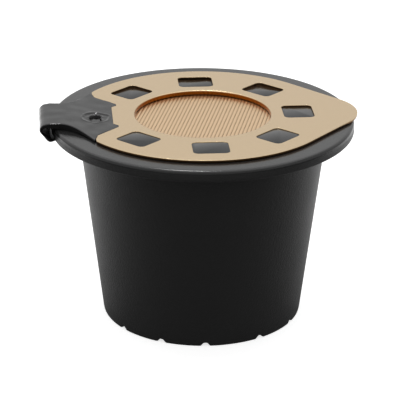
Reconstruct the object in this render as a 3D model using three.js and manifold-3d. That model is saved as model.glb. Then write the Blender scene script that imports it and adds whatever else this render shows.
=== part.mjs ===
// Refillable coffee capsule: a tapered black cup with a broad flange, and a lid that
// folds over it on a film hinge. The lid is a black ring that plugs the cup's mouth,
// a gold-coloured sheet staked on seven bosses of the ring, and a fine filter disc
// welded under the sheet's drawn window. Millimetres, +Z up, origin at the middle of
// the foot. The hinge is at -X and the lid's finger tip at +X.
import * as THREE from "three";
import { mergeVertices } from "three/addons/utils/BufferGeometryUtils.js";
import Module from "manifold-3d";

const wasm = await Module();
wasm.setup();

// Cup: outside
const FOOT_R = 12.4;
const BODY_TOP_R = 15.3;
const FLANGE_R = 18.55;
const FLANGE_TOP = 25.35;
const FLANGE_T = 1.35;
const FLANGE_EDGE_ROUND = 0.2;
const FLANGE_UNDER_ROUND = 0.15;
const NECK_FILLET = 0.5;
const FOOT_EDGE_ROUND = 0.2;

// Cup: inside, floor and foot
const WALL = 0.95;
const FLOOR_T = 1.0;
const FOOT_DEPTH = 0.85;
const FOOT_RING_W = 1.3;
const FLOOR_FILLET = 1.2;
const SEAT_PAST_BODY = 0.1;
const SEAT_DEPTH = 0.95;
const SNAP_GROOVE_DEPTH = 0.2;
const SNAP_HEIGHT = 0.7;
const SNAP_BELOW_SEAT = 0.7;
const NOTCHES = 12;
const NOTCH_MOUTH = 1.3;
const NOTCH_TOP = 0.45;
const NOTCH_DEPTH = 0.42;
const INLET_R = 0.4;
const INLET_PITCH = 2.4;
const INLET_RINGS = 2;

// Lid sheet
const SHEET_T = 0.3;
const SHEET_R = 15.9;
const SHEET_GAP = 0.05;
const TIP_REACH = 19.1;
const TIP_ROUND = 6;
const WINDOW_R = 8.35;
const WINDOW_DEPTH = 0.5;
const DRAWN_WALL = 0.3;
const SLOT_CIRCLE_R = 11.75;
const SLOT_WIDE = 4.35;
const SLOT_DEEP = 3.75;
const SLOT_CORNER = 0.5;
const SLOT_STEP = Math.PI / 4;
const SLOTS = 7;

// Cut-out of the sheet round the hinge, seen from above
const CUT_OUTER_HALF = 8.4;
const CUT_STEP_X = 13.1;
const CUT_STEP_HALF = 6.8;
const CUT_THROAT_X = 10.5;
const CUT_THROAT_HALF = 4.05;
const CUT_RELIEF_W = 0.6;
const CUT_FLOOR_X = 11.1;
const CUT_FLOOR_HALF = 2.95;

// Lid ring
const RING_HOLE_GAP = 0.25;
const RING_T = 1.0;
const LIP_GAP = 0.3;
const RING_GAP = 0.4;
const PLUG_GAP = 0.3;
const PLUG_DEPTH = 1.9;
const PLUG_WALL = 0.9;
const PLUG_LEAD = 0.35;
const SNAP_BEAD = 0.14;
const BOSS_GAP = 0.06;
const BOSS_SINK_FRONT = 0.04;
const BOSS_SINK_BACK = 0.28;

// Filter disc
const FILTER_GAP = 0.05;
const FILTER_T = 0.12;
const FILTER_RIDGE_W = 0.22;
const FILTER_RIDGE_H = 0.06;
const FILTER_PITCH = 0.446;
const FILTER_HOLE_W = 0.2;
const FILTER_HOLE_L = 1.1;
const FILTER_HOLE_PITCH = 1.75;
const FILTER_MARGIN = 0.75;
const FILTER_TURN = THREE.MathUtils.degToRad(-13.9);

// Hinge strap
const STRAP_T = 0.4;
const STRAP_HALF_W = 3.75;
const STRAP_OVERHANG = 1.5;
const STRAP_RISE = 0.25;
const STRAP_FLARE_IN = 1.65;
const FILM_T = 0.15;
const FILM_GAP = 0.3;
const FILM_TAPER = 0.9;
const GATE_X = 13.1;
const GATE_Y = -0.7;
const GATE_R = 0.95;
const GATE_DEPTH = 0.35;
const GATE_STUB_R = 0.25;

// Fineness of the round surfaces
const ROUND_STEPS = 60;
const SMALL_STEPS = 12;
const FILLET_STEPS = 4;

// Heights and radii that follow from the sizes above
const FLANGE_BOTTOM = FLANGE_TOP - FLANGE_T;
const SEAT_Z = FLANGE_TOP - SEAT_DEPTH;
const FLOOR_TOP = FOOT_DEPTH + FLOOR_T;
const SHEET_BOTTOM = FLANGE_TOP + SHEET_GAP;
const SHEET_TOP = SHEET_BOTTOM + SHEET_T;
const RIM_BOTTOM = SHEET_TOP - WINDOW_DEPTH;
const RIM_R = WINDOW_R + DRAWN_WALL;
const MOUTH_R = BODY_TOP_R - WALL;
const SEAT_R = BODY_TOP_R + SEAT_PAST_BODY;
const RING_R = SEAT_R - RING_GAP;
const PLUG_R = MOUTH_R - PLUG_GAP;
const RING_BOTTOM = SHEET_BOTTOM - RING_T;
const LIP_BOTTOM = SEAT_Z + LIP_GAP;
const STRAP_REACH = FLANGE_R + STRAP_OVERHANG;
const STRAP_FLARE_X = FLANGE_R - STRAP_FLARE_IN;
const SNAP_Z = SEAT_Z - SNAP_BELOW_SEAT;

const taper = (BODY_TOP_R - FOOT_R) / FLANGE_BOTTOM;
const outsideR = (z) => FOOT_R + taper * z;

function solidOf(geometry) {
  const bare = geometry.clone();
  bare.deleteAttribute("normal");
  bare.deleteAttribute("uv");
  const merged = mergeVertices(bare, 1e-4);
  return new wasm.Manifold(
    new wasm.Mesh({
      numProp: 3,
      vertProperties: merged.attributes.position.array,
      triVerts: new Uint32Array(merged.index.array),
    }),
  );
}

function geometryOf(solid) {
  const mesh = solid.getMesh();
  const position = new Float32Array(mesh.numVert * 3);
  for (let i = 0; i < mesh.numVert; i++) {
    const start = i * mesh.numProp;
    position.set(mesh.vertProperties.subarray(start, start + 3), i * 3);
  }
  const geometry = new THREE.BufferGeometry();
  geometry.setAttribute("position", new THREE.BufferAttribute(position, 3));
  geometry.setIndex(new THREE.BufferAttribute(mesh.triVerts, 1));
  geometry.computeVertexNormals();
  return geometry;
}

// A profile of [radius, height] points turned round Z; the points run anticlockwise.
function turned(points, steps = ROUND_STEPS) {
  const profile = points.map(([r, z]) => new THREE.Vector2(r, z));
  return solidOf(new THREE.LatheGeometry(profile, steps).rotateX(Math.PI / 2));
}

// A flat outline in X and Y, raised from bottom to top.
function raised(shape, bottom, top, curveSegments = SMALL_STEPS) {
  const options = { depth: top - bottom, bevelEnabled: false, curveSegments };
  return solidOf(new THREE.ExtrudeGeometry(shape, options).translate(0, 0, bottom));
}

function barrel(r, bottom, top, x = 0, y = 0, steps = SMALL_STEPS) {
  const cylinder = new THREE.CylinderGeometry(r, r, top - bottom, steps);
  return solidOf(cylinder.rotateX(Math.PI / 2).translate(x, y, (top + bottom) / 2));
}

// Points of a round corner between two directions, given as angles in degrees.
function corner(cx, cz, r, from, to, steps = FILLET_STEPS) {
  return Array.from({ length: steps + 1 }, (_, i) => {
    const a = THREE.MathUtils.degToRad(from + ((to - from) * i) / steps);
    return [cx + r * Math.cos(a), cz + r * Math.sin(a)];
  });
}

function cupShell() {
  const footInner = FOOT_R - FOOT_RING_W;
  const floorR = outsideR(FLOOR_TOP + FLOOR_FILLET) - WALL;
  const edge = FLANGE_EDGE_ROUND;
  const under = FLANGE_UNDER_ROUND;
  return turned([
    [0, FOOT_DEPTH],
    [footInner - FOOT_EDGE_ROUND, FOOT_DEPTH],
    [footInner, FOOT_DEPTH - FOOT_EDGE_ROUND],
    [footInner, 0],
    [FOOT_R - FOOT_EDGE_ROUND, 0],
    [outsideR(FOOT_EDGE_ROUND), FOOT_EDGE_ROUND],
    [outsideR(FLANGE_BOTTOM - NECK_FILLET), FLANGE_BOTTOM - NECK_FILLET],
    ...corner(BODY_TOP_R + NECK_FILLET, FLANGE_BOTTOM - NECK_FILLET, NECK_FILLET, 180, 90).slice(1),
    ...corner(FLANGE_R - under, FLANGE_BOTTOM + under, under, -90, 0),
    ...corner(FLANGE_R - edge, FLANGE_TOP - edge, edge, 0, 90),
    [SEAT_R, FLANGE_TOP],
    [SEAT_R, SEAT_Z],
    [MOUTH_R, SEAT_Z],
    [MOUTH_R, SNAP_Z],
    [MOUTH_R + SNAP_GROOVE_DEPTH, SNAP_Z - SNAP_HEIGHT / 3],
    [MOUTH_R + SNAP_GROOVE_DEPTH, SNAP_Z - (2 * SNAP_HEIGHT) / 3],
    [MOUTH_R, SNAP_Z - SNAP_HEIGHT],
    ...corner(floorR - FLOOR_FILLET, FLOOR_TOP + FLOOR_FILLET, FLOOR_FILLET, 0, -90),
    [0, FLOOR_TOP],
  ]);
}

// One water notch through the foot ring, wider at its mouth, at -Y before it is turned.
function notch() {
  const half = NOTCH_MOUTH / 2;
  const topHalf = NOTCH_TOP / 2;
  const slope = (half - topHalf) / NOTCH_DEPTH;
  const shape = new THREE.Shape();
  shape.moveTo(-half - slope, -1);
  shape.lineTo(half + slope, -1);
  shape.lineTo(topHalf, NOTCH_DEPTH);
  shape.lineTo(-topHalf, NOTCH_DEPTH);
  shape.closePath();
  const length = FOOT_RING_W * 3;
  const geometry = new THREE.ExtrudeGeometry(shape, { depth: length, bevelEnabled: false });
  geometry.rotateX(Math.PI / 2);
  return solidOf(geometry.translate(0, -(FOOT_R - FOOT_RING_W * 2), 0));
}

// Centres of the inlet holes: one in the middle and hexagonal rings of them round it.
function inletCentres() {
  const centres = [[0, 0]];
  for (let ring = 1; ring <= INLET_RINGS; ring++) {
    const count = 6 * ring;
    for (let i = 0; i < count; i++) {
      const a = (2 * Math.PI * i) / count;
      centres.push([ring * INLET_PITCH * Math.cos(a), ring * INLET_PITCH * Math.sin(a)]);
    }
  }
  return centres;
}

// The strap's centre line from the flange's lower edge, out and up round the fold, and in
// to the lid, as [x, z] points that a smooth curve joins.
function strapLine() {
  const out = -STRAP_REACH + STRAP_T / 2;
  const crest = SHEET_TOP + STRAP_RISE - STRAP_T / 2;
  const lidMid = SHEET_TOP - SHEET_T / 2;
  const rise = crest - FLANGE_BOTTOM;
  const points = [
    [-FLANGE_R + 0.4, FLANGE_BOTTOM + 0.07 * rise],
    [-FLANGE_R - 0.15 * STRAP_OVERHANG, FLANGE_BOTTOM - 0.02 * rise],
    [-FLANGE_R - 0.45 * STRAP_OVERHANG, FLANGE_BOTTOM + 0.23 * rise],
    [out + 0.07 * STRAP_OVERHANG, FLANGE_BOTTOM + 0.53 * rise],
    [out, FLANGE_BOTTOM + 0.77 * rise],
    [out + 0.27 * STRAP_OVERHANG, crest - 0.02],
    [out + 0.8 * STRAP_OVERHANG, crest - 0.07],
    [-STRAP_FLARE_X, (crest + lidMid) / 2],
    [THREE.MathUtils.lerp(-STRAP_FLARE_X, -CUT_THROAT_X, 0.28), lidMid + 0.03],
    [THREE.MathUtils.lerp(-STRAP_FLARE_X, -CUT_THROAT_X, 0.48), lidMid],
    [-CUT_THROAT_X, lidMid],
  ];
  return new THREE.SplineCurve(points.map(([x, z]) => new THREE.Vector2(x, z)));
}

const HINGE_AT = 0.17;
const hinge = strapLine().getPointAt(HINGE_AT);

// The stretch of the strap between two shares of its length, as a side profile in X and
// Z drawn across the full width. It thins to a film where it nears the hinge line.
function strapRun(from, to, steps) {
  const line = strapLine();
  const length = line.getLength();
  const above = [];
  const below = [];
  for (let i = 0; i <= steps; i++) {
    const at = from + ((to - from) * i) / steps;
    const away = Math.abs(at - HINGE_AT) * length - FILM_GAP;
    const share = THREE.MathUtils.clamp(away / FILM_TAPER, 0, 1);
    const inLid = THREE.MathUtils.smoothstep(at, 0.45, 0.72);
    const full = THREE.MathUtils.lerp(STRAP_T, SHEET_T, inLid);
    const half = THREE.MathUtils.lerp(FILM_T, full, share) / 2;
    const point = line.getPointAt(at);
    const along = line.getTangentAt(at);
    const across = new THREE.Vector2(-along.y, along.x).multiplyScalar(half);
    above.push(point.clone().add(across));
    below.unshift(point.clone().sub(across));
  }
  const shape = new THREE.Shape([...above, ...below]);
  const depth = 2 * CUT_OUTER_HALF;
  const geometry = new THREE.ExtrudeGeometry(shape, { depth, bevelEnabled: false });
  return solidOf(geometry.rotateX(Math.PI / 2).translate(0, depth / 2, 0));
}

// The strap seen from above: straight past the flange, then flared to the sheet's corners.
function strapPlan(inner) {
  const cornerX = -Math.sqrt(SHEET_R ** 2 - CUT_OUTER_HALF ** 2);
  const shape = new THREE.Shape();
  shape.moveTo(-STRAP_REACH - 1, -STRAP_HALF_W);
  shape.lineTo(-STRAP_FLARE_X - 0.6, -STRAP_HALF_W);
  shape.quadraticCurveTo(-STRAP_FLARE_X + 1.4, -STRAP_HALF_W - 0.4, cornerX, -CUT_OUTER_HALF);
  shape.lineTo(inner, -CUT_OUTER_HALF);
  shape.lineTo(inner, CUT_OUTER_HALF);
  shape.lineTo(cornerX, CUT_OUTER_HALF);
  shape.quadraticCurveTo(-STRAP_FLARE_X + 1.4, STRAP_HALF_W + 0.4, -STRAP_FLARE_X - 0.6, STRAP_HALF_W);
  shape.lineTo(-STRAP_REACH - 1, STRAP_HALF_W);
  shape.closePath();
  return raised(shape, 0, FLANGE_TOP * 2);
}

function cup() {
  let solid = cupShell();
  const gap = FILM_GAP / strapLine().getLength();
  const root = strapRun(0, HINGE_AT - gap, 12).intersect(strapPlan(-CUT_FLOOR_X));
  solid = solid.add(root);
  for (let i = 0; i < NOTCHES; i++) solid = solid.subtract(notch().rotate([0, 0, (360 * i) / NOTCHES]));
  for (const [x, y] of inletCentres()) {
    solid = solid.subtract(barrel(INLET_R, FOOT_DEPTH - 1, FLOOR_TOP + 1, x, y));
  }
  return solid;
}

// The sheet's outline, anticlockwise from the upper side of the hinge cut-out.
function sheetShape() {
  const tipX = TIP_REACH - TIP_ROUND;
  const tangent = Math.acos((SHEET_R - TIP_ROUND) / tipX);
  const cornerAt = Math.asin(CUT_OUTER_HALF / SHEET_R);
  const shape = new THREE.Shape();
  shape.absarc(0, 0, SHEET_R, Math.PI + cornerAt, 2 * Math.PI - tangent, false);
  shape.absarc(tipX, 0, TIP_ROUND, -tangent, tangent, false);
  shape.absarc(0, 0, SHEET_R, tangent, Math.PI - cornerAt, false);
  shape.lineTo(-CUT_STEP_X, CUT_STEP_HALF);
  shape.lineTo(-CUT_THROAT_X, CUT_THROAT_HALF);
  shape.lineTo(-CUT_THROAT_X, CUT_THROAT_HALF - CUT_RELIEF_W);
  shape.lineTo(-CUT_FLOOR_X, CUT_FLOOR_HALF);
  shape.lineTo(-CUT_FLOOR_X, -CUT_FLOOR_HALF);
  shape.lineTo(-CUT_THROAT_X, -CUT_THROAT_HALF + CUT_RELIEF_W);
  shape.lineTo(-CUT_THROAT_X, -CUT_THROAT_HALF);
  shape.lineTo(-CUT_STEP_X, -CUT_STEP_HALF);
  shape.closePath();
  return shape;
}

// A square with round corners at +X, its sides lying along the radius.
function slotShape(grow) {
  const x = SLOT_DEEP / 2 + grow;
  const y = SLOT_WIDE / 2 + grow;
  const r = SLOT_CORNER + grow;
  const shape = new THREE.Shape();
  shape.absarc(SLOT_CIRCLE_R + x - r, y - r, r, 0, Math.PI / 2, false);
  shape.absarc(SLOT_CIRCLE_R - x + r, y - r, r, Math.PI / 2, Math.PI, false);
  shape.absarc(SLOT_CIRCLE_R - x + r, -y + r, r, Math.PI, (3 * Math.PI) / 2, false);
  shape.absarc(SLOT_CIRCLE_R + x - r, -y + r, r, (3 * Math.PI) / 2, 2 * Math.PI, false);
  return shape;
}

// The slots stand on every eighth of a turn but the hinge's.
function slotAngles() {
  return Array.from({ length: SLOTS }, (_, i) => (i - (SLOTS - 1) / 2) * SLOT_STEP);
}

function lidSheet() {
  let solid = raised(sheetShape(), SHEET_BOTTOM, SHEET_TOP, 40);
  const rim = turned([
    [WINDOW_R, RIM_BOTTOM],
    [RIM_R, RIM_BOTTOM],
    [RIM_R, SHEET_TOP],
    [WINDOW_R, SHEET_TOP],
    [WINDOW_R, RIM_BOTTOM],
  ]);
  solid = solid.subtract(barrel(RIM_R - DRAWN_WALL / 2, 0, FLANGE_TOP * 2, 0, 0, ROUND_STEPS)).add(rim);
  const slot = raised(slotShape(0), 0, FLANGE_TOP * 2, 3);
  for (const a of slotAngles()) {
    solid = solid.subtract(slot.rotate([0, 0, THREE.MathUtils.radToDeg(a)]));
  }
  return solid;
}

function lidRing() {
  const hole = RIM_R + RING_HOLE_GAP;
  const plugBottom = SEAT_Z - PLUG_DEPTH;
  const beadMid = SNAP_Z - SNAP_HEIGHT / 2;
  let solid = turned([
    [hole, RING_BOTTOM],
    [PLUG_R - PLUG_WALL, RING_BOTTOM],
    [PLUG_R - PLUG_WALL, plugBottom],
    [PLUG_R - PLUG_LEAD, plugBottom],
    [PLUG_R, plugBottom + PLUG_LEAD],
    [PLUG_R, beadMid - SNAP_BEAD],
    [PLUG_R + SNAP_BEAD, beadMid],
    [PLUG_R, beadMid + SNAP_BEAD],
    [PLUG_R, LIP_BOTTOM],
    [RING_R, LIP_BOTTOM],
    [RING_R, SHEET_BOTTOM - BOSS_GAP],
    [hole, SHEET_BOTTOM - BOSS_GAP],
    [hole, RING_BOTTOM],
  ]);
  solid = solid.add(bosses());
  return solid.add(strapOnLid()).subtract(gatePit()).add(gateStub());
}

// The seven bosses that fill the sheet's slots, lower towards the back of the lid.
function bosses() {
  const parts = slotAngles().map((a) => {
    const back = (1 + Math.sin(a)) / 2;
    const sink = THREE.MathUtils.lerp(BOSS_SINK_FRONT, BOSS_SINK_BACK, back);
    const boss = raised(slotShape(-BOSS_GAP), LIP_BOTTOM + 0.1, SHEET_TOP - sink, 3);
    return boss.rotate([0, 0, THREE.MathUtils.radToDeg(a)]);
  });
  return parts.reduce((all, one) => all.add(one));
}

// The upper half of the strap, let into the sheet's cut-out with a small gap all round.
function strapOnLid() {
  const gap = FILM_GAP / strapLine().getLength();
  const bed = raised(hingeBedShape(), LIP_BOTTOM + 0.1, SHEET_TOP);
  const sheet = raised(sheetShape(), SHEET_BOTTOM - BOSS_GAP, FLANGE_TOP * 2, 40);
  const nudges = [-1, 1].flatMap((x) => [-1, 1].map((y) => [x * BOSS_GAP, y * BOSS_GAP, 0]));
  const clear = nudges.reduce((all, nudge) => all.add(sheet.translate(nudge)), sheet);
  const run = strapRun(HINGE_AT + gap, 1, 40).intersect(strapPlan(-CUT_THROAT_X));
  return run.add(bed).subtract(clear);
}

// The part of the lid ring that shows in the sheet's cut-out, inside the ring's edge.
function hingeBedShape() {
  const shape = new THREE.Shape();
  const half = CUT_OUTER_HALF;
  const inner = RIM_R + RING_HOLE_GAP;
  const outer = RING_R - BOSS_GAP;
  const at = Math.asin(half / outer);
  shape.absarc(0, 0, outer, Math.PI - at, Math.PI + at, false);
  shape.lineTo(-inner, -half);
  shape.lineTo(-inner, half);
  shape.closePath();
  return shape;
}

function gatePit() {
  const ball = (GATE_R ** 2 + GATE_DEPTH ** 2) / (2 * GATE_DEPTH);
  const sphere = new THREE.SphereGeometry(ball, 24, 40);
  return solidOf(sphere.rotateX(Math.PI / 2).translate(-GATE_X, GATE_Y, SHEET_TOP - GATE_DEPTH + ball));
}

function gateStub() {
  return barrel(GATE_STUB_R, LIP_BOTTOM + 0.1, SHEET_TOP - GATE_DEPTH / 2, -GATE_X, GATE_Y, 8);
}

// The filter disc: fine ridges across it, and slots in every second furrow.
function filterDisc() {
  const top = RIM_BOTTOM - FILTER_GAP - FILTER_RIDGE_H;
  const disc = barrel(RIM_R, top - FILTER_T, top, 0, 0, ROUND_STEPS);
  const reach = RIM_R - FILTER_MARGIN;
  const rows = Math.floor(reach / FILTER_PITCH);
  const ridges = [];
  const slots = [];
  for (let row = -rows; row <= rows; row++) {
    const half = Math.sqrt(reach ** 2 - (row * FILTER_PITCH) ** 2);
    ridges.push(filterRidge(row * FILTER_PITCH, half, top));
    if (row % 2 === 0) slots.push(...filterSlots(row, reach, top));
  }
  const ridged = disc.add(wasm.Manifold.union(ridges));
  const slotted = ridged.subtract(wasm.Manifold.union(slots));
  return slotted.rotate([0, 0, THREE.MathUtils.radToDeg(FILTER_TURN)]);
}

function filterRidge(x, half, top) {
  const foot = FILTER_T / 2;
  const geometry = new THREE.BoxGeometry(FILTER_RIDGE_W, 2 * half, FILTER_RIDGE_H + foot);
  return solidOf(geometry.translate(x, 0, top + (FILTER_RIDGE_H - foot) / 2));
}

// Slots of one furrow, set half a pitch along in every other slotted furrow.
function filterSlots(row, reach, top) {
  const x = (row + 0.5) * FILTER_PITCH;
  const span = Math.sqrt(Math.max(0, reach ** 2 - x ** 2)) - FILTER_HOLE_L / 2;
  const shift = row % 4 === 0 ? 0 : FILTER_HOLE_PITCH / 2;
  const count = Math.ceil(reach / FILTER_HOLE_PITCH);
  const ys = Array.from({ length: 2 * count + 1 }, (_, i) => (i - count) * FILTER_HOLE_PITCH + shift);
  const slot = (y) => new THREE.BoxGeometry(FILTER_HOLE_W, FILTER_HOLE_L, 1).translate(x, y, top);
  return ys.filter((y) => Math.abs(y) < span).map((y) => solidOf(slot(y)));
}

const blackPlastic = new THREE.MeshStandardMaterial({ color: 0x232323, roughness: 0.5, metalness: 0 });
const goldSheet = new THREE.MeshStandardMaterial({ color: 0xd0bb9d, roughness: 0.35, metalness: 0.9 });
const goldFilter = new THREE.MeshStandardMaterial({ color: 0xc9ab80, roughness: 0.45, metalness: 0.9 });

function piece(name, solid, material) {
  const mesh = new THREE.Mesh(geometryOf(solid), material);
  mesh.name = name;
  return mesh;
}

const lid = new THREE.Group();
lid.add(piece("lid_ring", lidRing(), blackPlastic));
lid.add(piece("lid_sheet", lidSheet(), goldSheet));
lid.add(piece("filter_disc", filterDisc(), goldFilter));

const capsule = new THREE.Group();
capsule.add(piece("cup", cup(), blackPlastic));
capsule.add(lid);
capsule.userData.hingeLine = { x: hinge.x, z: hinge.y };

export default capsule;
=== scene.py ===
"""Looks for the refillable coffee capsule: finely turned cup, ring, sheet, filter and strap."""
import math

import bmesh
import bpy
from mathutils import Matrix, Vector, noise
from mathutils.geometry import tessellate_polygon


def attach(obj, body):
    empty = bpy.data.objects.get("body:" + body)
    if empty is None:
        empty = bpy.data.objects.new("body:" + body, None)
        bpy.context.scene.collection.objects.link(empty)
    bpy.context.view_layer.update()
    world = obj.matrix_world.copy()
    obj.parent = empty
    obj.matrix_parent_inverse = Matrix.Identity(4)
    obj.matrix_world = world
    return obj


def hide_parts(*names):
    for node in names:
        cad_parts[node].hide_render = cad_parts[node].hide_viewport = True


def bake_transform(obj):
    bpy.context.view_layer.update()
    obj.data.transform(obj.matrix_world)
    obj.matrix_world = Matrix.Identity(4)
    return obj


MM = 0.001

# Cup. All sizes are in millimetres, and most are the part's own
FOOT_R = 12.4
BODY_TOP_R = 15.3
FLANGE_R = 18.55
FLANGE_TOP = 25.35
FLANGE_T = 1.35
BRIM_EXTRA = 0.05
FLANGE_EDGE_ROUND = 0.4
FLANGE_UNDER_ROUND = 0.15
NECK_FILLET = 0.5
WALL = 0.95
FLOOR_T = 1.0
FOOT_DEPTH = 0.85
FOOT_RING_W = 1.3
FOOT_EDGE_ROUND = 0.2
FLOOR_FILLET = 1.2
SEAT_R = 15.4
SEAT_DEPTH = 0.95
SNAP_GROOVE_DEPTH = 0.2
SNAP_HEIGHT = 0.7
SNAP_BELOW_SEAT = 0.7
NOTCHES = 12
NOTCH_MOUTH = 1.3
NOTCH_TOP = 0.3
NOTCH_DEPTH = 0.44
NOTCH_FADE_Z = 1.4
# How far each notch stands off even spacing, in degrees, from +X round by +Y
NOTCH_OFF = (0, 0, 0, 0, 0, 0, 0, 4.1, 1.9, -2.4, 0.7, -1.4)
INLET_R = 0.4
INLET_PITCH = 2.4
INLET_RINGS = 2

# Lid
SHEET_T = 0.3
SHEET_R = 15.9
SHEET_GAP = 0.05
SHEET_ROUND = 0.05
TIP_REACH = 19.1
TIP_ROUND = 6.0
WINDOW_R = 8.35
WINDOW_DEPTH = 0.5
WINDOW_ROUND = 0.16
DRAWN_WALL = 0.3
SLOT_CIRCLE_R = 11.75
SLOT_WIDE = 4.35
SLOT_DEEP = 3.75
SLOT_CORNER = 0.65
SLOT_ROUND = 0.04
SLOT_STEP = math.pi / 4
SLOTS = 7
CUT_OUTER_HALF = 8.4
CUT_STEP_X = 13.1
CUT_STEP_HALF = 6.8
CUT_THROAT_X = 10.5
CUT_THROAT_HALF = 4.05
CUT_RELIEF_W = 0.6
CUT_FLOOR_X = 11.1
CUT_FLOOR_HALF = 2.95
CUT_CORNER_TURN = 1.2
CUT_CORNER = (0.25, 0.45)
CUT_POINT_STEP = 0.25
RING_HOLE_GAP = 0.25
RING_T = 1.0
LIP_GAP = 0.3
RING_GAP = 0.4
PLUG_GAP = 0.3
PLUG_DEPTH = 1.9
PLUG_WALL = 0.9
PLUG_LEAD = 0.35
PLUG_CHAMFER = 0.2
SNAP_BEAD = 0.14
RING_TOP_GAP = 0.06
BOSS_GAP = 0.005
BOSS_FOOT = 0.1
BOSS_SINK_FRONT = 0.04
BOSS_SINK_BACK = 0.28

# Filter
FILTER_GAP = 0.05
FILTER_T = 0.12
FILTER_RIDGE_H = 0.028
FILTER_RIDGE_ROOM = 0.06
FILTER_EDGE_GAP = 0.03
FILTER_PITCH = 0.446
FILTER_ROW_PITCH = 0.4
FILTER_PLAIN_RIM = 0.35
# Where the mesh lines lie in each ridge's and each row's pitch, and which strips they bound
RIDGE_LINES = (-0.5, -0.36, -0.16, 0.16, 0.36)
RIDGE_CREST = (2, 3)
RIDGE_FURROW = (0, 4)
ROW_LINES = (-0.5, -0.24, 0.24)
ROW_HOLE = 1
FILTER_TURN = math.radians(-13.9)

# Strap
STRAP_T = 0.4
STRAP_HALF_W = 3.75
STRAP_OVERHANG = 1.5
STRAP_REACH = FLANGE_R + STRAP_OVERHANG
STRAP_RISE = 0.25
STRAP_SWELL = 0.26
# Shares of the strap's length over which its top rises and falls, and over which it thins
SWELL_RISE = (0.24, 0.34)
SWELL_FALL = (0.5, 0.8)
THINNING = (0.45, 0.72)
STRAP_FLARE_X = FLANGE_R - 1.65
STRAP_FLARE_START = 0.6
STRAP_FLARE_BULGE = 0.4
STRAP_LENGTH = 11.3
STRAP_BARE_ROWS = 12
STRAP_EDGE = 0.12
STRAP_EDGE_THINNING = 0.35
STRAP_SIDE_GAP = 0.004
STRAP_CLEARANCE = 0.04
RIPPLE = 0.03
FILM_T = 0.2
FILM_AT = 0.17
FILM_TAPER = 0.9
GATE = (-13.1, -0.7)
GATE_WELL_DEPTH = 0.07
GATE_RIM_HEIGHT = 0.03
GATE_LIP_HEIGHT = 0.07
# Deeper than the strap is thick, so the pit's middle dips below the strap's underside
GATE_PIT_DEPTH = 0.6

# Fineness of the meshes
CUP_STEPS = 600
RING_STEPS = 360
WINDOW_STEPS = 240
INLET_STEPS = 24
STRAP_STEPS = 170
STRAP_COLUMNS = 121
CURVE_STEPS = 24
SHARP_ANGLE = 35

# How near the axis, or an edge of the foot ring, counts as on it
ON_AXIS = 1e-9
NEAR = 0.01

FLANGE_BOTTOM = FLANGE_TOP - FLANGE_T
SEAT_Z = FLANGE_TOP - SEAT_DEPTH
FLOOR_TOP = FOOT_DEPTH + FLOOR_T
SHEET_BOTTOM = FLANGE_TOP + SHEET_GAP
SHEET_TOP = SHEET_BOTTOM + SHEET_T
RIM_BOTTOM = SHEET_TOP - WINDOW_DEPTH
RIM_R = WINDOW_R + DRAWN_WALL
MOUTH_R = BODY_TOP_R - WALL
RING_R = SEAT_R - RING_GAP
PLUG_R = MOUTH_R - PLUG_GAP
RING_BOTTOM = SHEET_BOTTOM - RING_T
LIP_BOTTOM = SEAT_Z + LIP_GAP
SNAP_Z = SEAT_Z - SNAP_BELOW_SEAT
TAPER = (BODY_TOP_R - FOOT_R) / FLANGE_BOTTOM


def outside_r(z):
    return FOOT_R + TAPER * z


def smooth(t):
    t = min(1.0, max(0.0, t))
    return t * t * (3 - 2 * t)


def ramp(value, start, end):
    """Goes smoothly from 0 at the start to 1 at the end."""
    return smooth((value - start) / (end - start))


def arc(cx, cz, r, start, end, steps):
    """Points of an arc from one angle to another, in degrees."""
    turns = [math.radians(start + (end - start) * i / steps) for i in range(steps + 1)]
    return [(cx + r * math.cos(a), cz + r * math.sin(a)) for a in turns]


def make_object(name, verts, faces, sharp=SHARP_ANGLE):
    """A mesh object from millimetre coordinates, smooth but for its sharp edges."""
    mesh = bpy.data.meshes.new(name)
    mesh.from_pydata([(x * MM, y * MM, z * MM) for x, y, z in verts], [], faces)
    mesh.validate()
    work = bmesh.new()
    work.from_mesh(mesh)
    bmesh.ops.recalc_face_normals(work, faces=work.faces)
    work.to_mesh(mesh)
    work.free()
    mesh.shade_smooth()
    mesh.set_sharp_from_angle(angle=math.radians(sharp))
    obj = bpy.data.objects.new(name, mesh)
    bpy.context.scene.collection.objects.link(obj)
    return obj


def lathe(profile, steps, place=None):
    """Turns a closed profile of (r, z) round Z. Points on the axis become one vertex."""
    verts = []
    rows = []
    for r, z in profile:
        if r < ON_AXIS:
            rows.append([len(verts)] * steps)
            verts.append((0.0, 0.0, z))
            continue
        rows.append(list(range(len(verts), len(verts) + steps)))
        for j in range(steps):
            a = 2 * math.pi * j / steps
            rr, zz = place(r, z, a) if place else (r, z)
            verts.append((rr * math.cos(a), rr * math.sin(a), zz))
    faces = []
    pairs = list(zip(rows, rows[1:]))
    if profile[0][0] >= ON_AXIS:
        pairs.append((rows[-1], rows[0]))
    for low, high in pairs:
        for j in range(steps):
            k = (j + 1) % steps
            quad = [low[j], low[k], high[k], high[j]]
            faces.append([v for i, v in enumerate(quad) if v != quad[i - 1]])
    return verts, faces


def circle(r, steps):
    turns = [2 * math.pi * j / steps for j in range(steps)]
    return [(r * math.cos(a), r * math.sin(a)) for a in turns]


def add_walls(verts, faces, rows):
    """Joins outlines (points, z) of equally many points, and returns the first and last loop."""
    base = len(verts)
    count = len(rows[0][0])
    for points, z in rows:
        verts.extend((x, y, z) for x, y in points)
    for i in range(len(rows) - 1):
        for j in range(count):
            k = (j + 1) % count
            low = base + i * count
            faces.append([low + j, low + k, low + count + k, low + count + j])
    last = base + (len(rows) - 1) * count
    return range(base, base + count), range(last, last + count)


def add_prism(verts, faces, rows):
    """Adds a closed block whose outlines (points, z) all have the same number of points."""
    first, last = add_walls(verts, faces, rows)
    faces.append(list(reversed(first)))
    faces.append(list(last))


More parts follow.
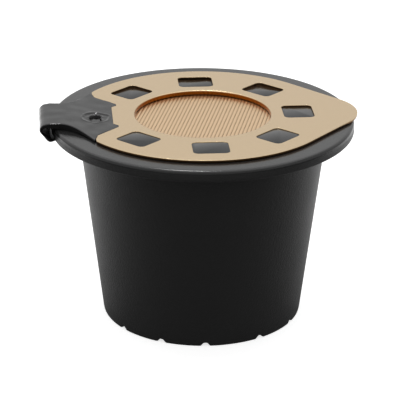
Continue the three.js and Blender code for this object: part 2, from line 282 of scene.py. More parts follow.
# Cup

def notch_height(a):
    """How far the foot's lower edge is raised at one angle."""
    pitch = 2 * math.pi / NOTCHES
    nearest = round(a / pitch)
    off = abs(a - nearest * pitch - math.radians(NOTCH_OFF[nearest % NOTCHES])) * FOOT_R
    slope = (NOTCH_MOUTH - NOTCH_TOP) / 2
    return NOTCH_DEPTH * smooth(1 - (off - NOTCH_TOP / 2) / slope)


def notched(r, z, a):
    """Moves a point of the foot ring up where a notch is, and leaves the rest."""
    inner = r < FOOT_R - FOOT_RING_W + NEAR
    reach = FOOT_DEPTH - FOOT_EDGE_ROUND if inner else NOTCH_FADE_Z
    if r < FOOT_R - FOOT_RING_W - NEAR or z >= reach:
        return r, z
    up = z + notch_height(a) * (1 - z / reach)
    if r > FOOT_R - FOOT_EDGE_ROUND - NEAR and not inner:
        r += TAPER * (up - z)
    return r, up


def cup_profile():
    """The cup's section as (r, z), from the floor's underside out, up and back inside."""
    inner = FOOT_R - FOOT_RING_W
    edge = FOOT_EDGE_ROUND
    floor_r = outside_r(FLOOR_TOP + FLOOR_FILLET) - WALL
    top = FLANGE_EDGE_ROUND
    under = FLANGE_UNDER_ROUND
    neck = FLANGE_BOTTOM - NECK_FILLET
    points = [(r, FOOT_DEPTH) for r in (0, 4, 8, inner - edge)]
    points += [(inner, FOOT_DEPTH - edge), (inner, 0.4), (inner, 0.2), (inner, 0.0)]
    points += [(inner + 0.3, 0), (FOOT_R - edge - 0.3, 0)]
    points += arc(FOOT_R - edge, edge, edge, -90, 0, 4)
    points += [(outside_r(z), z) for z in (0.45, 0.7, 1.0, NOTCH_FADE_Z, 3, 7, 12, 17, 21)]
    points += arc(outside_r(neck) + NECK_FILLET, neck, NECK_FILLET, 180, 90, 6)
    brim = FLANGE_R + BRIM_EXTRA
    points += arc(brim - under, FLANGE_BOTTOM + under, under, -90, 0, 4)
    points += arc(brim - top, FLANGE_TOP - top, top, 0, 90, 8)
    points += [(FLANGE_R - top - 0.3, FLANGE_TOP), (SEAT_R, FLANGE_TOP)]
    points += [(SEAT_R, SEAT_Z), (MOUTH_R, SEAT_Z)]
    groove = MOUTH_R + SNAP_GROOVE_DEPTH
    third = SNAP_HEIGHT / 3
    points += [(MOUTH_R, SNAP_Z), (groove, SNAP_Z - third), (groove, SNAP_Z - 2 * third)]
    points += [(MOUTH_R, SNAP_Z - SNAP_HEIGHT)]
    points += arc(floor_r - FLOOR_FILLET, FLOOR_TOP + FLOOR_FILLET, FLOOR_FILLET, 0, -90, 8)
    points += [(r, FLOOR_TOP) for r in (8, 4, 0)]
    return points


def inlet_cutter():
    """Round rods where the floor's inlet holes go."""
    centres = [(0.0, 0.0)]
    for ring in range(1, INLET_RINGS + 1):
        centres += circle(ring * INLET_PITCH, 6 * ring)
    verts = []
    faces = []
    for x, y in centres:
        rod = [(x + dx, y + dy) for dx, dy in circle(INLET_R, INLET_STEPS)]
        add_prism(verts, faces, [(rod, FOOT_DEPTH - 0.5), (rod, FLOOR_TOP + 0.5)])
    return make_object("inlet_cutter", verts, faces)


def cut(obj, tool):
    """Takes the tool's volume out of the object, and removes the tool."""
    modifier = obj.modifiers.new("cut", "BOOLEAN")
    modifier.operation = "DIFFERENCE"
    modifier.solver = "EXACT"
    modifier.object = tool
    bpy.context.view_layer.update()
    evaluated = obj.evaluated_get(bpy.context.evaluated_depsgraph_get())
    mesh = bpy.data.meshes.new_from_object(evaluated)
    obj.modifiers.clear()
    obj.data = mesh
    mesh.shade_smooth()
    mesh.set_sharp_from_angle(angle=math.radians(SHARP_ANGLE))
    bpy.data.objects.remove(tool)


def build_cup():
    verts, faces = lathe(cup_profile(), CUP_STEPS, notched)
    cup = make_object("cup_body", verts, faces)
    cut(cup, inlet_cutter())
    return cup


# Lid ring and its bosses

def slot_loop(inset, steps=6):
    """Outline of one slot or boss at +X, anticlockwise, as (x, y)."""
    x = SLOT_DEEP / 2 - inset
    y = SLOT_WIDE / 2 - inset
    r = max(0.05, SLOT_CORNER - inset)
    points = []
    for sx, sy, start in ((1, 1, 0), (-1, 1, 90), (-1, -1, 180), (1, -1, 270)):
        points += arc(SLOT_CIRCLE_R + sx * (x - r), sy * (y - r), r, start, start + 90, steps)
    return points


def turned_by(points, a):
    c, s = math.cos(a), math.sin(a)
    return [(x * c - y * s, x * s + y * c) for x, y in points]


def slot_angles():
    """The slots stand on every eighth of a turn but the hinge's."""
    return [(i - (SLOTS - 1) / 2) * SLOT_STEP for i in range(SLOTS)]


def build_ring():
    hole = RIM_R + RING_HOLE_GAP
    bottom = SEAT_Z - PLUG_DEPTH
    top = SHEET_BOTTOM - RING_TOP_GAP
    bead = SNAP_Z - SNAP_HEIGHT / 2
    inside = PLUG_R - PLUG_WALL
    profile = [(hole, RING_BOTTOM), (inside - PLUG_CHAMFER, RING_BOTTOM)]
    profile += [(inside, RING_BOTTOM - PLUG_CHAMFER), (inside, bottom)]
    profile += [(PLUG_R - PLUG_LEAD, bottom), (PLUG_R, bottom + PLUG_LEAD)]
    profile += [(PLUG_R, bead - SNAP_BEAD), (PLUG_R + SNAP_BEAD, bead)]
    profile += [(PLUG_R, bead + SNAP_BEAD)]
    profile += [(PLUG_R, LIP_BOTTOM), (RING_R, LIP_BOTTOM), (RING_R, top), (hole, top)]
    verts, faces = lathe(profile, RING_STEPS)
    for a in slot_angles():
        back = (1 + math.sin(a)) / 2
        sink = BOSS_SINK_FRONT + (BOSS_SINK_BACK - BOSS_SINK_FRONT) * back
        high = SHEET_TOP - sink
        steps = [(BOSS_GAP, LIP_BOTTOM + BOSS_FOOT), (BOSS_GAP, high - 0.03)]
        steps += [(0.02, high - 0.008), (0.05, high)]
        add_prism(verts, faces, [(turned_by(slot_loop(inset), a), z) for inset, z in steps])
    return make_object("ring_body", verts, faces)


# Sheet

def sheet_outline():
    """The sheet's outline, anticlockwise, as (x, y)."""
    tip_x = TIP_REACH - TIP_ROUND
    tangent = math.degrees(math.acos((SHEET_R - TIP_ROUND) / tip_x))
    corner = math.degrees(math.asin(CUT_OUTER_HALF / SHEET_R))
    points = arc(0, 0, SHEET_R, 180 + corner + CUT_CORNER_TURN, 360 - tangent, 120)
    points += arc(tip_x, 0, TIP_ROUND, -tangent, tangent, 48)[1:]
    points += arc(0, 0, SHEET_R, tangent, 180 - corner - CUT_CORNER_TURN, 120)[1:]
    sides = [
        (-CUT_STEP_X - CUT_CORNER[0], CUT_OUTER_HALF - CUT_CORNER[1]),
        (-CUT_STEP_X, CUT_STEP_HALF),
        (-CUT_THROAT_X, CUT_THROAT_HALF),
        (-CUT_THROAT_X, CUT_THROAT_HALF - CUT_RELIEF_W),
        (-CUT_FLOOR_X, CUT_FLOOR_HALF),
    ]
    points += fine_line(sides + [(x, -y) for x, y in reversed(sides)], CUT_POINT_STEP)
    return points


def fine_line(points, step):
    """The same broken line with more points on it."""
    result = []
    for (ax, ay), (bx, by) in zip(points, points[1:]):
        count = max(1, int(math.hypot(bx - ax, by - ay) / step))
        result += [(ax + (bx - ax) * i / count, ay + (by - ay) * i / count) for i in range(count)]
    result.append(points[-1])
    return result


def inset_loop(points, amount):
    """Moves each point of an anticlockwise outline inwards along its corner's normal."""
    moved = []
    count = len(points)
    for i, (x, y) in enumerate(points):
        ax, ay = points[i - 1]
        bx, by = points[(i + 1) % count]
        first = Vector((x - ax, y - ay)).normalized()
        second = Vector((bx - x, by - y)).normalized()
        normal = Vector((-first.y - second.y, first.x + second.x)).normalized()
        keen = max(0.4, normal.dot(Vector((-first.y, first.x))))
        moved.append((x + normal.x * amount / keen, y + normal.y * amount / keen))
    return moved


def rim_rows(rounding):
    """(inset, height) of the rows that round a cut edge over from top to bottom."""
    rows = [(rounding + 0.04, SHEET_TOP)]
    for i in range(6):
        a = math.radians(90 * i / 5)
        rows.append((rounding * (1 - math.sin(a)), SHEET_TOP - rounding * (1 - math.cos(a))))
    rows += [(0.0, SHEET_BOTTOM + 0.05), (0.05, SHEET_BOTTOM), (0.09, SHEET_BOTTOM)]
    return rows


def window_rows():
    """(radius, height) of the drawn window's rows, from the top face to the underside."""
    r = WINDOW_ROUND
    rows = [(WINDOW_R + r + 0.05, SHEET_TOP)]
    rows += arc(WINDOW_R + r, SHEET_TOP - r, r, 90, 180, 10)
    rows += [(WINDOW_R, RIM_BOTTOM + 0.1), (WINDOW_R, RIM_BOTTOM), (RIM_R, RIM_BOTTOM)]
    rows += [(RIM_R, SHEET_BOTTOM - 0.05)]
    rows += [(RIM_R + 0.05, SHEET_BOTTOM), (RIM_R + 0.1, SHEET_BOTTOM)]
    return rows


def build_sheet():
    outline = sheet_outline()
    columns = [[(inset_loop(outline, inset), z) for inset, z in rim_rows(SHEET_ROUND)]]
    for a in slot_angles():
        edge = rim_rows(SLOT_ROUND)
        columns.append([(turned_by(slot_loop(-inset), a), z) for inset, z in edge])
    columns.append([(circle(r, WINDOW_STEPS), z) for r, z in window_rows()])
    verts = []
    faces = []
    for loops in zip(*[add_walls(verts, faces, rows) for rows in columns]):
        flat = [v for loop in loops for v in loop]
        polylines = [[Vector((verts[v][0], verts[v][1], 0.0)) for v in loop] for loop in loops]
        faces.extend([flat[i] for i in triangle] for triangle in tessellate_polygon(polylines))
    return make_object("sheet_body", verts, faces)


# Filter

def mesh_lines(reach, pitch, shares):
    """Places of the mesh's lines on both sides of the middle, with the same few in every pitch."""
    count = int(reach / pitch) + 1
    return [(i + share) * pitch for i in range(-count, count + 1) for share in shares]


def build_filter():
    """Ridged disc with a row of fine holes down every furrow."""
    top = RIM_BOTTOM - FILTER_GAP - FILTER_RIDGE_ROOM
    bottom = top - FILTER_T
    reach = RIM_R - FILTER_EDGE_GAP
    xs = mesh_lines(reach, FILTER_PITCH, RIDGE_LINES)
    ys = mesh_lines(reach, FILTER_ROW_PITCH, ROW_LINES)
    c, s = math.cos(FILTER_TURN), math.sin(FILTER_TURN)
    verts = []
    index = {}

    def vertex(i, j, upper):
        key = (i, j, upper)
        if key not in index:
            x, y = xs[i], ys[j]
            far = math.hypot(x, y)
            if far > reach:
                x, y = x * reach / far, y * reach / far
            crest = i % len(RIDGE_LINES) in RIDGE_CREST
            z = (top + (FILTER_RIDGE_H if crest else 0.0)) if upper else bottom
            index[key] = len(verts)
            verts.append((x * c - y * s, x * s + y * c, z))
        return index[key]

    def solid(i, j):
        if i < 0 or j < 0 or i >= len(xs) - 1 or j >= len(ys) - 1:
            return False
        corners = [math.hypot(xs[i + a], ys[j + b]) for a in (0, 1) for b in (0, 1)]
        if min(corners) >= reach:
            return False
        furrow = i % len(RIDGE_LINES) in RIDGE_FURROW
        hole = furrow and j % len(ROW_LINES) == ROW_HOLE
        return not hole or max(corners) >= reach - FILTER_PLAIN_RIM

    faces = []
    for i in range(len(xs) - 1):
        for j in range(len(ys) - 1):
            if not solid(i, j):
                continue
            square = [(i, j), (i + 1, j), (i + 1, j + 1), (i, j + 1)]
            faces.append([vertex(a, b, True) for a, b in square])
            faces.append([vertex(a, b, False) for a, b in reversed(square)])
            sides = [((i, j - 1), 0, 1), ((i + 1, j), 1, 2), ((i, j + 1), 2, 3), ((i - 1, j), 3, 0)]
            for beside, a, b in sides:
                if solid(*beside):
                    continue
                p, q = square[a], square[b]
                upper = [vertex(*q, True), vertex(*p, True)]
                faces.append(upper + [vertex(*p, False), vertex(*q, False)])
    return make_object("filter_body", verts, faces, sharp=50)


# Strap

def strap_line():
    """The strap's centre line as closely spaced (x, z) points, from the cup to the lid."""
    out = -STRAP_REACH + STRAP_T / 2
    crest = SHEET_TOP + STRAP_RISE - STRAP_T / 2
    mid = SHEET_TOP - SHEET_T / 2
    rise = crest - FLANGE_BOTTOM
    inward = STRAP_FLARE_X - CUT_THROAT_X
    marks = [
        (-FLANGE_R + 0.4, FLANGE_BOTTOM + 0.07 * rise),
        (-FLANGE_R - 0.15 * STRAP_OVERHANG, FLANGE_BOTTOM - 0.02 * rise),
        (-FLANGE_R - 0.45 * STRAP_OVERHANG, FLANGE_BOTTOM + 0.23 * rise),
        (out + 0.07 * STRAP_OVERHANG, FLANGE_BOTTOM + 0.53 * rise),
        (out, FLANGE_BOTTOM + 0.77 * rise),
        (out + 0.27 * STRAP_OVERHANG, crest - 0.02),
        (out + 0.8 * STRAP_OVERHANG, crest - 0.07),
        (-STRAP_FLARE_X, (crest + mid) / 2),
        (-STRAP_FLARE_X + 0.28 * inward, mid + 0.03),
        (-STRAP_FLARE_X + 0.48 * inward, mid),
        (-CUT_FLOOR_X, mid),
    ]
    points = []
    last = len(marks) - 1
    for i in range(last):
        a, b, c, d = (Vector(marks[min(last, max(0, k))]) for k in (i - 1, i, i + 1, i + 2))
        points += [curve_point(a, b, c, d, k / CURVE_STEPS) for k in range(CURVE_STEPS)]
    points.append(Vector(marks[-1]))
    return spaced(points, STRAP_STEPS)


def curve_point(a, b, c, d, t):
    """A point from b to c of a smooth curve that also passes near a and d."""
    u, v = (c - a) / 2, (d - b) / 2
    return (2 * b - 2 * c + u + v) * t**3 + (-3 * b + 3 * c - 2 * u - v) * t**2 + u * t + b


def spaced(points, count):
    """Points at even distances along a broken line."""
    lengths = [0.0]
    for p, q in zip(points, points[1:]):
        lengths.append(lengths[-1] + (q - p).length)
    result = []
    i = 0
    for k in range(count + 1):
        want = lengths[-1] * k / count
        while i < len(points) - 2 and lengths[i + 1] < want:
            i += 1
        span = lengths[i + 1] - lengths[i]
        result.append(points[i].lerp(points[i + 1], (want - lengths[i]) / span))
    return result


def strap_half_width(x):
    """Half the strap's width at one place, out to the sheet's edges where it is let in."""
    corner_x = -math.sqrt(SHEET_R**2 - CUT_OUTER_HALF**2)
    start = -STRAP_FLARE_X - STRAP_FLARE_START
    if x < start:
        return STRAP_HALF_W
    if x < corner_x:
        t = (x - start) / (corner_x - start)
        bulge = STRAP_HALF_W + STRAP_FLARE_BULGE
        return (1 - t) ** 2 * STRAP_HALF_W + 2 * t * (1 - t) * bulge + t * t * CUT_OUTER_HALF
    if x < -CUT_STEP_X:
        t = (x - corner_x) / (-CUT_STEP_X - corner_x)
        return CUT_OUTER_HALF + (CUT_STEP_HALF - CUT_OUTER_HALF) * t
    t = (x + CUT_STEP_X) / (CUT_STEP_X - CUT_THROAT_X)
    return CUT_STEP_HALF + (CUT_THROAT_HALF - CUT_STEP_HALF) * t


def ridge(value, middle, width):
    return math.exp(-(((value - middle) / width) ** 2))


def gate_mark(x, y):
    """Height of the broken gate's mark: a shallow well with a torn pit in it."""
    dx, dy = x - GATE[0], y - GATE[1]
    ragged = noise.noise(Vector((x * 1.3, y * 1.3, 8.6)))
    fine = noise.noise(Vector((x * 3.1, y * 3.1, 2.2)))
    r = math.hypot(dx, dy * 0.95) * (1 + 0.15 * ragged)
    well = GATE_RIM_HEIGHT * ridge(r, 1.72, 0.16) - GATE_WELL_DEPTH * (1 - ramp(r, 1.3, 1.7))
    torn = math.hypot(dx * 1.1 + 0.1, dy * 0.8 + 0.05) * (1 + 0.5 * ragged + 0.3 * fine)
    pit = -GATE_PIT_DEPTH * (1 - ramp(torn, 0.55, 0.85))
    lip = GATE_LIP_HEIGHT * ridge(torn, 1.0, 0.15) * max(0.0, 0.5 + 1.5 * fine)
    return well + pit + lip


def strap_thickness(share):
    """The strap's thickness at one share of its length, thinnest at the film."""
    away = abs(share - FILM_AT) * STRAP_LENGTH
    full = STRAP_T + (SHEET_T - STRAP_T) * ramp(share, *THINNING)
    return FILM_T + (full - FILM_T) * smooth(away / FILM_TAPER)


def strap_swell(share):
    """How much the strap's top stands prouder over the flange."""
    return STRAP_SWELL * ramp(share, *SWELL_RISE) * (1 - ramp(share, *SWELL_FALL))


def rest_on_flange(x, z):
    """Lets the strap's underside down on the flange's flat top."""
    share = ramp(x, 0.35 - FLANGE_R, 1.05 - FLANGE_R) * (1 - ramp(x, -SHEET_R, 0.6 - SHEET_R))
    return z + (FLANGE_TOP + STRAP_CLEARANCE - z) * share


def build_strap():
    line = strap_line()
    rows = len(line)
    columns = STRAP_COLUMNS
    verts = []
    for side in (1, -1):
        for i, point in enumerate(line):
            ahead, behind = line[min(rows - 1, i + 1)], line[max(0, i - 1)]
            along = (ahead - behind).normalized()
            normal = Vector((-along.y, along.x))
            if side > 0 and normal.y < 0 and i > rows // 2:
                normal = -normal
            share = i / (rows - 1)
            half = strap_thickness(share) / 2
            swell = strap_swell(share)
            width = strap_half_width(point.x) - STRAP_SIDE_GAP
            for j in range(columns):
                v = 2 * j / (columns - 1) - 1
                y = v * width
                edge = 1.0
                if i < rows - STRAP_BARE_ROWS:
                    worn = smooth((abs(y) - width + STRAP_EDGE) / STRAP_EDGE)
                    edge -= STRAP_EDGE_THINNING * worn
                ripple = RIPPLE * noise.noise(Vector((point.x * 0.8, y * 0.6, 1.7)))
                lift = side * half * edge + (ripple + swell if side > 0 else 0)
                p = point + normal * lift
                z = p.y + gate_mark(p.x, y) if side > 0 else rest_on_flange(p.x, p.y)
                verts.append((p.x, y, z))
    faces = []
    block = rows * columns
    for i in range(rows - 1):
        for j in range(columns - 1):
            a = i * columns + j
            faces.append([a, a + 1, a + columns + 1, a + columns])
            faces.append([block + a, block + a + columns, block + a + columns + 1, block + a + 1])
    rim = list(range(columns))
    rim += [i * columns + columns - 1 for i in range(1, rows)]
    rim += [(rows - 1) * columns + j for j in range(columns - 2, -1, -1)]
    rim += [i * columns for i in range(rows - 2, 0, -1)]
    for a, b in zip(rim, rim[1:] + rim[:1]):
        faces.append([a, b, block + b, block + a])
    add_horns(verts, faces)
    return make_object("strap_body", verts, faces, sharp=40)


def add_horns(verts, faces):
    """Fills the sheet's two relief slots at the strap's inner end."""
    for side in (1, -1):
        points = [
            (-CUT_FLOOR_X, CUT_FLOOR_HALF),
            (-CUT_THROAT_X, CUT_THROAT_HALF - CUT_RELIEF_W),
            (-CUT_THROAT_X, CUT_THROAT_HALF),
            (-CUT_FLOOR_X, strap_half_width(-CUT_FLOOR_X)),
        ]
        outline = [(x, side * y) for x, y in points]
        add_prism(verts, faces, [(outline, SHEET_BOTTOM), (outline, SHEET_TOP)])


# Materials

GRAIN_ROUGHNESS = 0.6
PLASTIC_GRAIN_SCALE = 4200.0
PLASTIC_GRAIN_STRENGTH = 0.5
GLOSS_GRAIN_STRENGTH = 0.12
PATCH_SCALE = 160.0
PATCH_SPREAD = 0.06
GLOSS_BLEND = 0.0002
METAL_GRAIN_SCALE = 2600.0
METAL_GRAIN_STRENGTH = 0.25
POLISHED_ROUGHNESS = 0.13
PAINTED_SHADE_BLEND = 0.00004
# Distances from the origin between which the painted dark reflection on the sheet's outer cut edges
# sets in, in metres
CUT_EDGE_FROM = 0.02705
CUT_EDGE_TO = 0.0272


def material(name):
    """A new material, with its nodes, its links and its Principled shader."""
    made = bpy.data.materials.new(name)
    made.use_nodes = True
    nodes, links = made.node_tree.nodes, made.node_tree.links
    return made, nodes, links, nodes["Principled BSDF"]


def empty_material(name):
    """A new material without nodes but its output."""
    made, nodes, links, _ = material(name)
    nodes.clear()
    return made, nodes, links, nodes.new("ShaderNodeOutputMaterial")


def object_coords(nodes):
    return nodes.new("ShaderNodeTexCoord").outputs["Object"]


def split_xyz(nodes, links, coords):
    node = nodes.new("ShaderNodeSeparateXYZ")
    links.new(coords, node.inputs["Vector"])
    return node


def mapped(nodes, links, value, span, result, kind="LINEAR"):
    """Takes one span of values to another."""
    node = nodes.new("ShaderNodeMapRange")
    node.interpolation_type = kind
    node.inputs["From Min"].default_value, node.inputs["From Max"].default_value = span
    node.inputs["To Min"].default_value, node.inputs["To Max"].default_value = result
    links.new(value, node.inputs["Value"])
    return node.outputs["Result"]


def noise_at(nodes, links, coords, scale, detail=3.0):
    node = nodes.new("ShaderNodeTexNoise")
    node.inputs["Scale"].default_value = scale
    node.inputs["Detail"].default_value = detail
    node.inputs["Roughness"].default_value = GRAIN_ROUGHNESS
    links.new(coords, node.inputs["Vector"])
    return node.outputs["Fac"]


def add_bump(nodes, links, shader, height, distance, strength):
    bump = nodes.new("ShaderNodeBump")
    bump.inputs["Strength"].default_value = strength
    bump.inputs["Distance"].default_value = distance
    links.new(height, bump.inputs["Height"])
    links.new(bump.outputs["Normal"], shader.inputs["Normal"])
    return bump


def mixed_color(nodes, links, factor, first, second):
    """A colour between two, each given as three numbers or as a socket."""
    mix = nodes.new("ShaderNodeMix")
    mix.data_type = "RGBA"
    links.new(factor, mix.inputs["Factor"])
    for socket, color in (("A", first), ("B", second)):
        if isinstance(color, tuple):
            mix.inputs[socket].default_value = (*color, 1)
        else:
            links.new(color, mix.inputs[socket])
    return mix.outputs["Result"]


def black_plastic(name, roughness, grain_height, shade, ior, gloss=None, gloss_above=0.0):
    """Black polypropylene with a fine moulding texture, glossier above one height."""
    made, nodes, links, shader = material(name)
    shader.inputs["Base Color"].default_value = (shade, shade, shade, 1)
    shader.inputs["IOR"].default_value = ior
    coords = object_coords(nodes)
    grain = noise_at(nodes, links, coords, PLASTIC_GRAIN_SCALE)
    bump = add_bump(nodes, links, shader, grain, grain_height, PLASTIC_GRAIN_STRENGTH)
    patches = noise_at(nodes, links, coords, PATCH_SCALE)
    spread = (roughness - PATCH_SPREAD, roughness + PATCH_SPREAD)
    rough = mapped(nodes, links, patches, (0, 1), spread)
    if gloss is not None:
        height = split_xyz(nodes, links, coords).outputs["Z"]
        span = (gloss_above - GLOSS_BLEND, gloss_above + GLOSS_BLEND)
        mask = mapped(nodes, links, height, span, (0, 1))
        choose = nodes.new("ShaderNodeMix")
        choose.inputs["B"].default_value = gloss
        links.new(mask, choose.inputs["Factor"])
        links.new(rough, choose.inputs["A"])
        rough = choose.outputs["Result"]
        calm = mapped(nodes, links, mask, (0, 1), (PLASTIC_GRAIN_STRENGTH, GLOSS_GRAIN_STRENGTH))
        links.new(calm, bump.inputs["Strength"])
    links.new(rough, shader.inputs["Roughness"])
    return made


def gold_metal(name, color, roughness, grain_height, wall_painted_shade=None, painted_shade_below=0.0, edge=None):
    """Gold-coloured satin steel, smoother below one height and deeper in colour there: painted
    shade on the window's drawn wall, and a painted dark reflection at its cut edges.
    """
    made, nodes, links, shader = material(name)
    shader.inputs["Base Color"].default_value = (*color, 1)
    shader.inputs["Metallic"].default_value = 1.0
    shader.inputs["Roughness"].default_value = roughness
    coords = object_coords(nodes)
    grain = noise_at(nodes, links, coords, METAL_GRAIN_SCALE, detail=2.0)
    add_bump(nodes, links, shader, grain, grain_height, METAL_GRAIN_STRENGTH)
    # Below one height the colour is painted: painted shade on the window's wall, and a painted dark
    # reflection on the cut edges
    if wall_painted_shade is not None:
        height = split_xyz(nodes, links, coords).outputs["Z"]
        above = mapped(nodes, links, height, (painted_shade_below, painted_shade_below + PAINTED_SHADE_BLEND), (0, 1))
        reach = nodes.new("ShaderNodeVectorMath")
        reach.operation = "LENGTH"
        links.new(coords, reach.inputs[0])
        span = (CUT_EDGE_FROM, CUT_EDGE_TO)
        outside = mapped(nodes, links, reach.outputs["Value"], span, (0, 1))
        # Painted dark reflection on the cut edges, painted shade on the window's wall
        low = mixed_color(nodes, links, outside, wall_painted_shade, edge)
        color_with_painted_shade = mixed_color(nodes, links, above, low, color)
        links.new(color_with_painted_shade, shader.inputs["Base Color"])
        polish = mapped(nodes, links, above, (0, 1), (POLISHED_ROUGHNESS, roughness))
        links.new(polish, shader.inputs["Roughness"])
    return made


# Stage, lamps and camera

FLOOR_SIZE = 6
FLOOR_SHADE = 0.85
FLOOR_GLOW = 0.72
# Stretch of the floor in front of the capsule, in metres along Y, and its shades in reflections
FADE_SPAN = (-0.035, 0.03)
FADE_SHADES = (0.2, 0.8)
# Stretch over which the white floor takes over in reflections, and its shares there
BACK_SPAN = (-0.01, 0.07)
BACK_SHARES = (0, 0.9)
WORLD_LIGHT = 0.3
WORLD_IN_GLOSS = 0.6
WHITE = 1.0


def facing(place, way):
    """A placing whose Z axis points one way."""
    turn = way.to_track_quat("Z", "Y").to_matrix().to_4x4()
    return Matrix.Translation(place) @ turn


def card(name, size, place, aim, strength):
    """A glowing card for reflections, white to the camera."""
    bpy.ops.mesh.primitive_plane_add(size=1)
    obj = bpy.context.object
    obj.name = name
    scaled = Matrix.Diagonal((size[0], size[1], 1, 1))
    obj.data.transform(facing(place, Vector(aim) - Vector(place)) @ scaled)
    made, nodes, links, output = empty_material(name)
    glow = nodes.new("ShaderNodeEmission")
    glow.inputs["Color"].default_value = (1, 1, 1, 1)
    path = nodes.new("ShaderNodeLightPath")
    mix = nodes.new("ShaderNodeMix")
    mix.inputs["A"].default_value = strength
    mix.inputs["B"].default_value = WHITE
    links.new(path.outputs["Is Camera Ray"], mix.inputs["Factor"])
    links.new(mix.outputs["Result"], glow.inputs["Strength"])
    links.new(glow.outputs["Emission"], output.inputs["Surface"])
    obj.data.materials.append(made)


def maths(nodes, links, operation, first, second):
    """Works on two sockets, or on a socket and a number."""
    node = nodes.new("ShaderNodeMath")
    node.operation = operation
    links.new(first, node.inputs[0])
    if isinstance(second, float):
        node.inputs[1].default_value = second
    else:
        links.new(second, node.inputs[1])
    return node.outputs["Value"]


def shown(nodes, links, share):
    """Factor of the white that camera rays see, and glossy and transmission rays in part."""
    rays = nodes.new("ShaderNodeLightPath").outputs
    either = maths(nodes, links, "MAXIMUM", rays["Is Glossy Ray"], rays["Is Transmission Ray"])
    part = maths(nodes, links, "MULTIPLY", either, share)
    return maths(nodes, links, "MAXIMUM", rays["Is Camera Ray"], part)


def build_floor():
    """White to the camera with the shadow kept, and darker in front where plastic mirrors it."""
    bpy.ops.mesh.primitive_plane_add(size=FLOOR_SIZE)
    floor = bpy.context.object
    floor.name = "floor"
    made, nodes, links, output = empty_material("floor")
    diffuse = nodes.new("ShaderNodeBsdfDiffuse")
    diffuse.inputs["Color"].default_value = (FLOOR_SHADE, FLOOR_SHADE, FLOOR_SHADE, 1)
    glow = nodes.new("ShaderNodeEmission")
    glow.inputs["Strength"].default_value = FLOOR_GLOW
    seen = nodes.new("ShaderNodeAddShader")
    links.new(diffuse.outputs["BSDF"], seen.inputs[0])
    links.new(glow.outputs["Emission"], seen.inputs[1])
    depth = split_xyz(nodes, links, object_coords(nodes)).outputs["Y"]
    fade = mapped(nodes, links, depth, FADE_SPAN, FADE_SHADES, "SMOOTHSTEP")
    dim = nodes.new("ShaderNodeBsdfDiffuse")
    links.new(fade, dim.inputs["Color"])
    back = mapped(nodes, links, depth, BACK_SPAN, BACK_SHARES, "SMOOTHSTEP")
    mix = nodes.new("ShaderNodeMixShader")
    links.new(shown(nodes, links, back), mix.inputs["Fac"])
    links.new(dim.outputs["BSDF"], mix.inputs[1])
    links.new(seen.outputs["Shader"], mix.inputs[2])
    links.new(mix.outputs["Shader"], output.inputs["Surface"])
    floor.data.materials.append(made)


def build_world():
    world = bpy.data.worlds.new("studio")
    bpy.context.scene.world = world
    world.use_nodes = True
    nodes, links = world.node_tree.nodes, world.node_tree.links
    background = nodes["Background"]
    background.inputs["Color"].default_value = (1, 1, 1, 1)
    mix = nodes.new("ShaderNodeMix")
    mix.inputs["A"].default_value = WORLD_LIGHT
    mix.inputs["B"].default_value = WHITE
    links.new(shown(nodes, links, WORLD_IN_GLOSS), mix.inputs["Factor"])
    links.new(mix.outputs["Result"], background.inputs["Strength"])


def lamp(name, place, aim, size, watts):
    """An area lamp, aimed at a point."""
    data = bpy.data.lights.new(name, "AREA")
    data.shape = "RECTANGLE"
    data.size, data.size_y = size
    data.energy = watts
    obj = bpy.data.objects.new(name, data)
    bpy.context.scene.collection.objects.link(obj)
    obj.matrix_world = facing(place, Vector(place) - Vector(aim))


CAMERA_AIM = (0, 0, 0.014)
CAMERA_AZIMUTH = math.radians(-4.8)
CAMERA_ELEVATION = math.radians(22.51)
CAMERA_ROLL = math.radians(0.371)
CAMERA_DISTANCE = 0.2581
CAMERA_LENS = 186.05
CAMERA_SHIFT = (-0.0054, 0.0035)


def build_camera():
    """The photograph's view: 22.5 degrees up, a long lens from about a quarter of a metre."""
    flat = math.cos(CAMERA_ELEVATION)
    sine, cosine = math.sin(CAMERA_AZIMUTH), math.cos(CAMERA_AZIMUTH)
    back = Vector((sine * flat, -cosine * flat, math.sin(CAMERA_ELEVATION)))
    right = Vector((cosine, sine, 0))
    up = back.cross(right)
    across = right * math.cos(CAMERA_ROLL) + up * math.sin(CAMERA_ROLL)
    above = up * math.cos(CAMERA_ROLL) - right * math.sin(CAMERA_ROLL)
    turn = Matrix((across, above, back)).transposed().to_4x4()
    data = bpy.data.cameras.new("camera")
    data.sensor_width = 36
    data.lens = CAMERA_LENS
    data.shift_x, data.shift_y = CAMERA_SHIFT
    data.clip_start = 0.01
    camera = bpy.data.objects.new("camera", data)
    camera.matrix_world = Matrix.Translation(Vector(CAMERA_AIM) + back * CAMERA_DISTANCE) @ turn
    bpy.context.scene.collection.objects.link(camera)
    bpy.context.scene.camera = camera


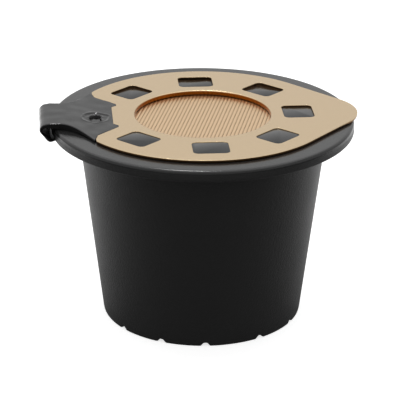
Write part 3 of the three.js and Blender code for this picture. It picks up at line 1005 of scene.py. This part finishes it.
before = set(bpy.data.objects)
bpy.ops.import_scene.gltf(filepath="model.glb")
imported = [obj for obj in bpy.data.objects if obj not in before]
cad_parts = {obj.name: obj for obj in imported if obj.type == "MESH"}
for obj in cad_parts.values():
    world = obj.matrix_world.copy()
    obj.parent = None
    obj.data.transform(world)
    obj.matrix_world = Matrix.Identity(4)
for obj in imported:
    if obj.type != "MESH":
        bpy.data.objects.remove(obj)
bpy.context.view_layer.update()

cup = build_cup()
ring = build_ring()
sheet = build_sheet()
disc = build_filter()
strap = build_strap()

satin_black = black_plastic(
    "satin_black", roughness=0.42, grain_height=0.00013, shade=0.02, ior=1.46,
    gloss=0.15, gloss_above=0.0249)
smooth_black = black_plastic(
    "lid_black", roughness=0.14, grain_height=0.00001, shade=0.004, ior=1.4)
# The sheet's walls below its top face take painted shade in the window and a painted dark
# reflection at the cut edges
gold_sheet = gold_metal(
    "gold_sheet", color=(0.6, 0.455, 0.28), roughness=0.26, grain_height=0.00001,
    wall_painted_shade=(0.38, 0.12, 0.015), painted_shade_below=(SHEET_TOP - 0.09) * MM, edge=(0.16, 0.08, 0.03))
gold_filter = gold_metal(
    "gold_filter", color=(0.68, 0.47, 0.27), roughness=0.3, grain_height=0.00001)
cup.data.materials.append(satin_black)
ring.data.materials.append(smooth_black)
strap.data.materials.append(smooth_black)
sheet.data.materials.append(gold_sheet)
disc.data.materials.append(gold_filter)

for piece, body, node, slot in (
    (cup, "cup", "cup", "black_plastic"),
    (ring, "lid", "lid_ring", "black_plastic"),
    (sheet, "lid", "lid_sheet", "gold_sheet"),
    (disc, "lid", "filter_disc", "gold_filter"),
):
    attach(piece, body)
    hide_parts(node)
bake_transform(strap)

build_world()
build_floor()
card("backdrop", size=(3.2, 1.7), place=(0, 1.3, 0.85), aim=(0, 0, 0.2), strength=0.86)
card("front_card", size=(1.6, 0.9), place=(0, -0.75, 0.5), aim=(0, 0, 0.02), strength=0.55)
lamp("top_soft", place=(0, 0.1, 0.9), aim=(0, 0, 0.02), size=(1.2, 1.2), watts=3.0)
lamp("spot", place=(0, 0.42, 0.62), aim=(0, 0, 0.02), size=(0.07, 0.07), watts=0.8)
build_camera()

scene = bpy.context.scene
scene.view_settings.view_transform = "Standard"
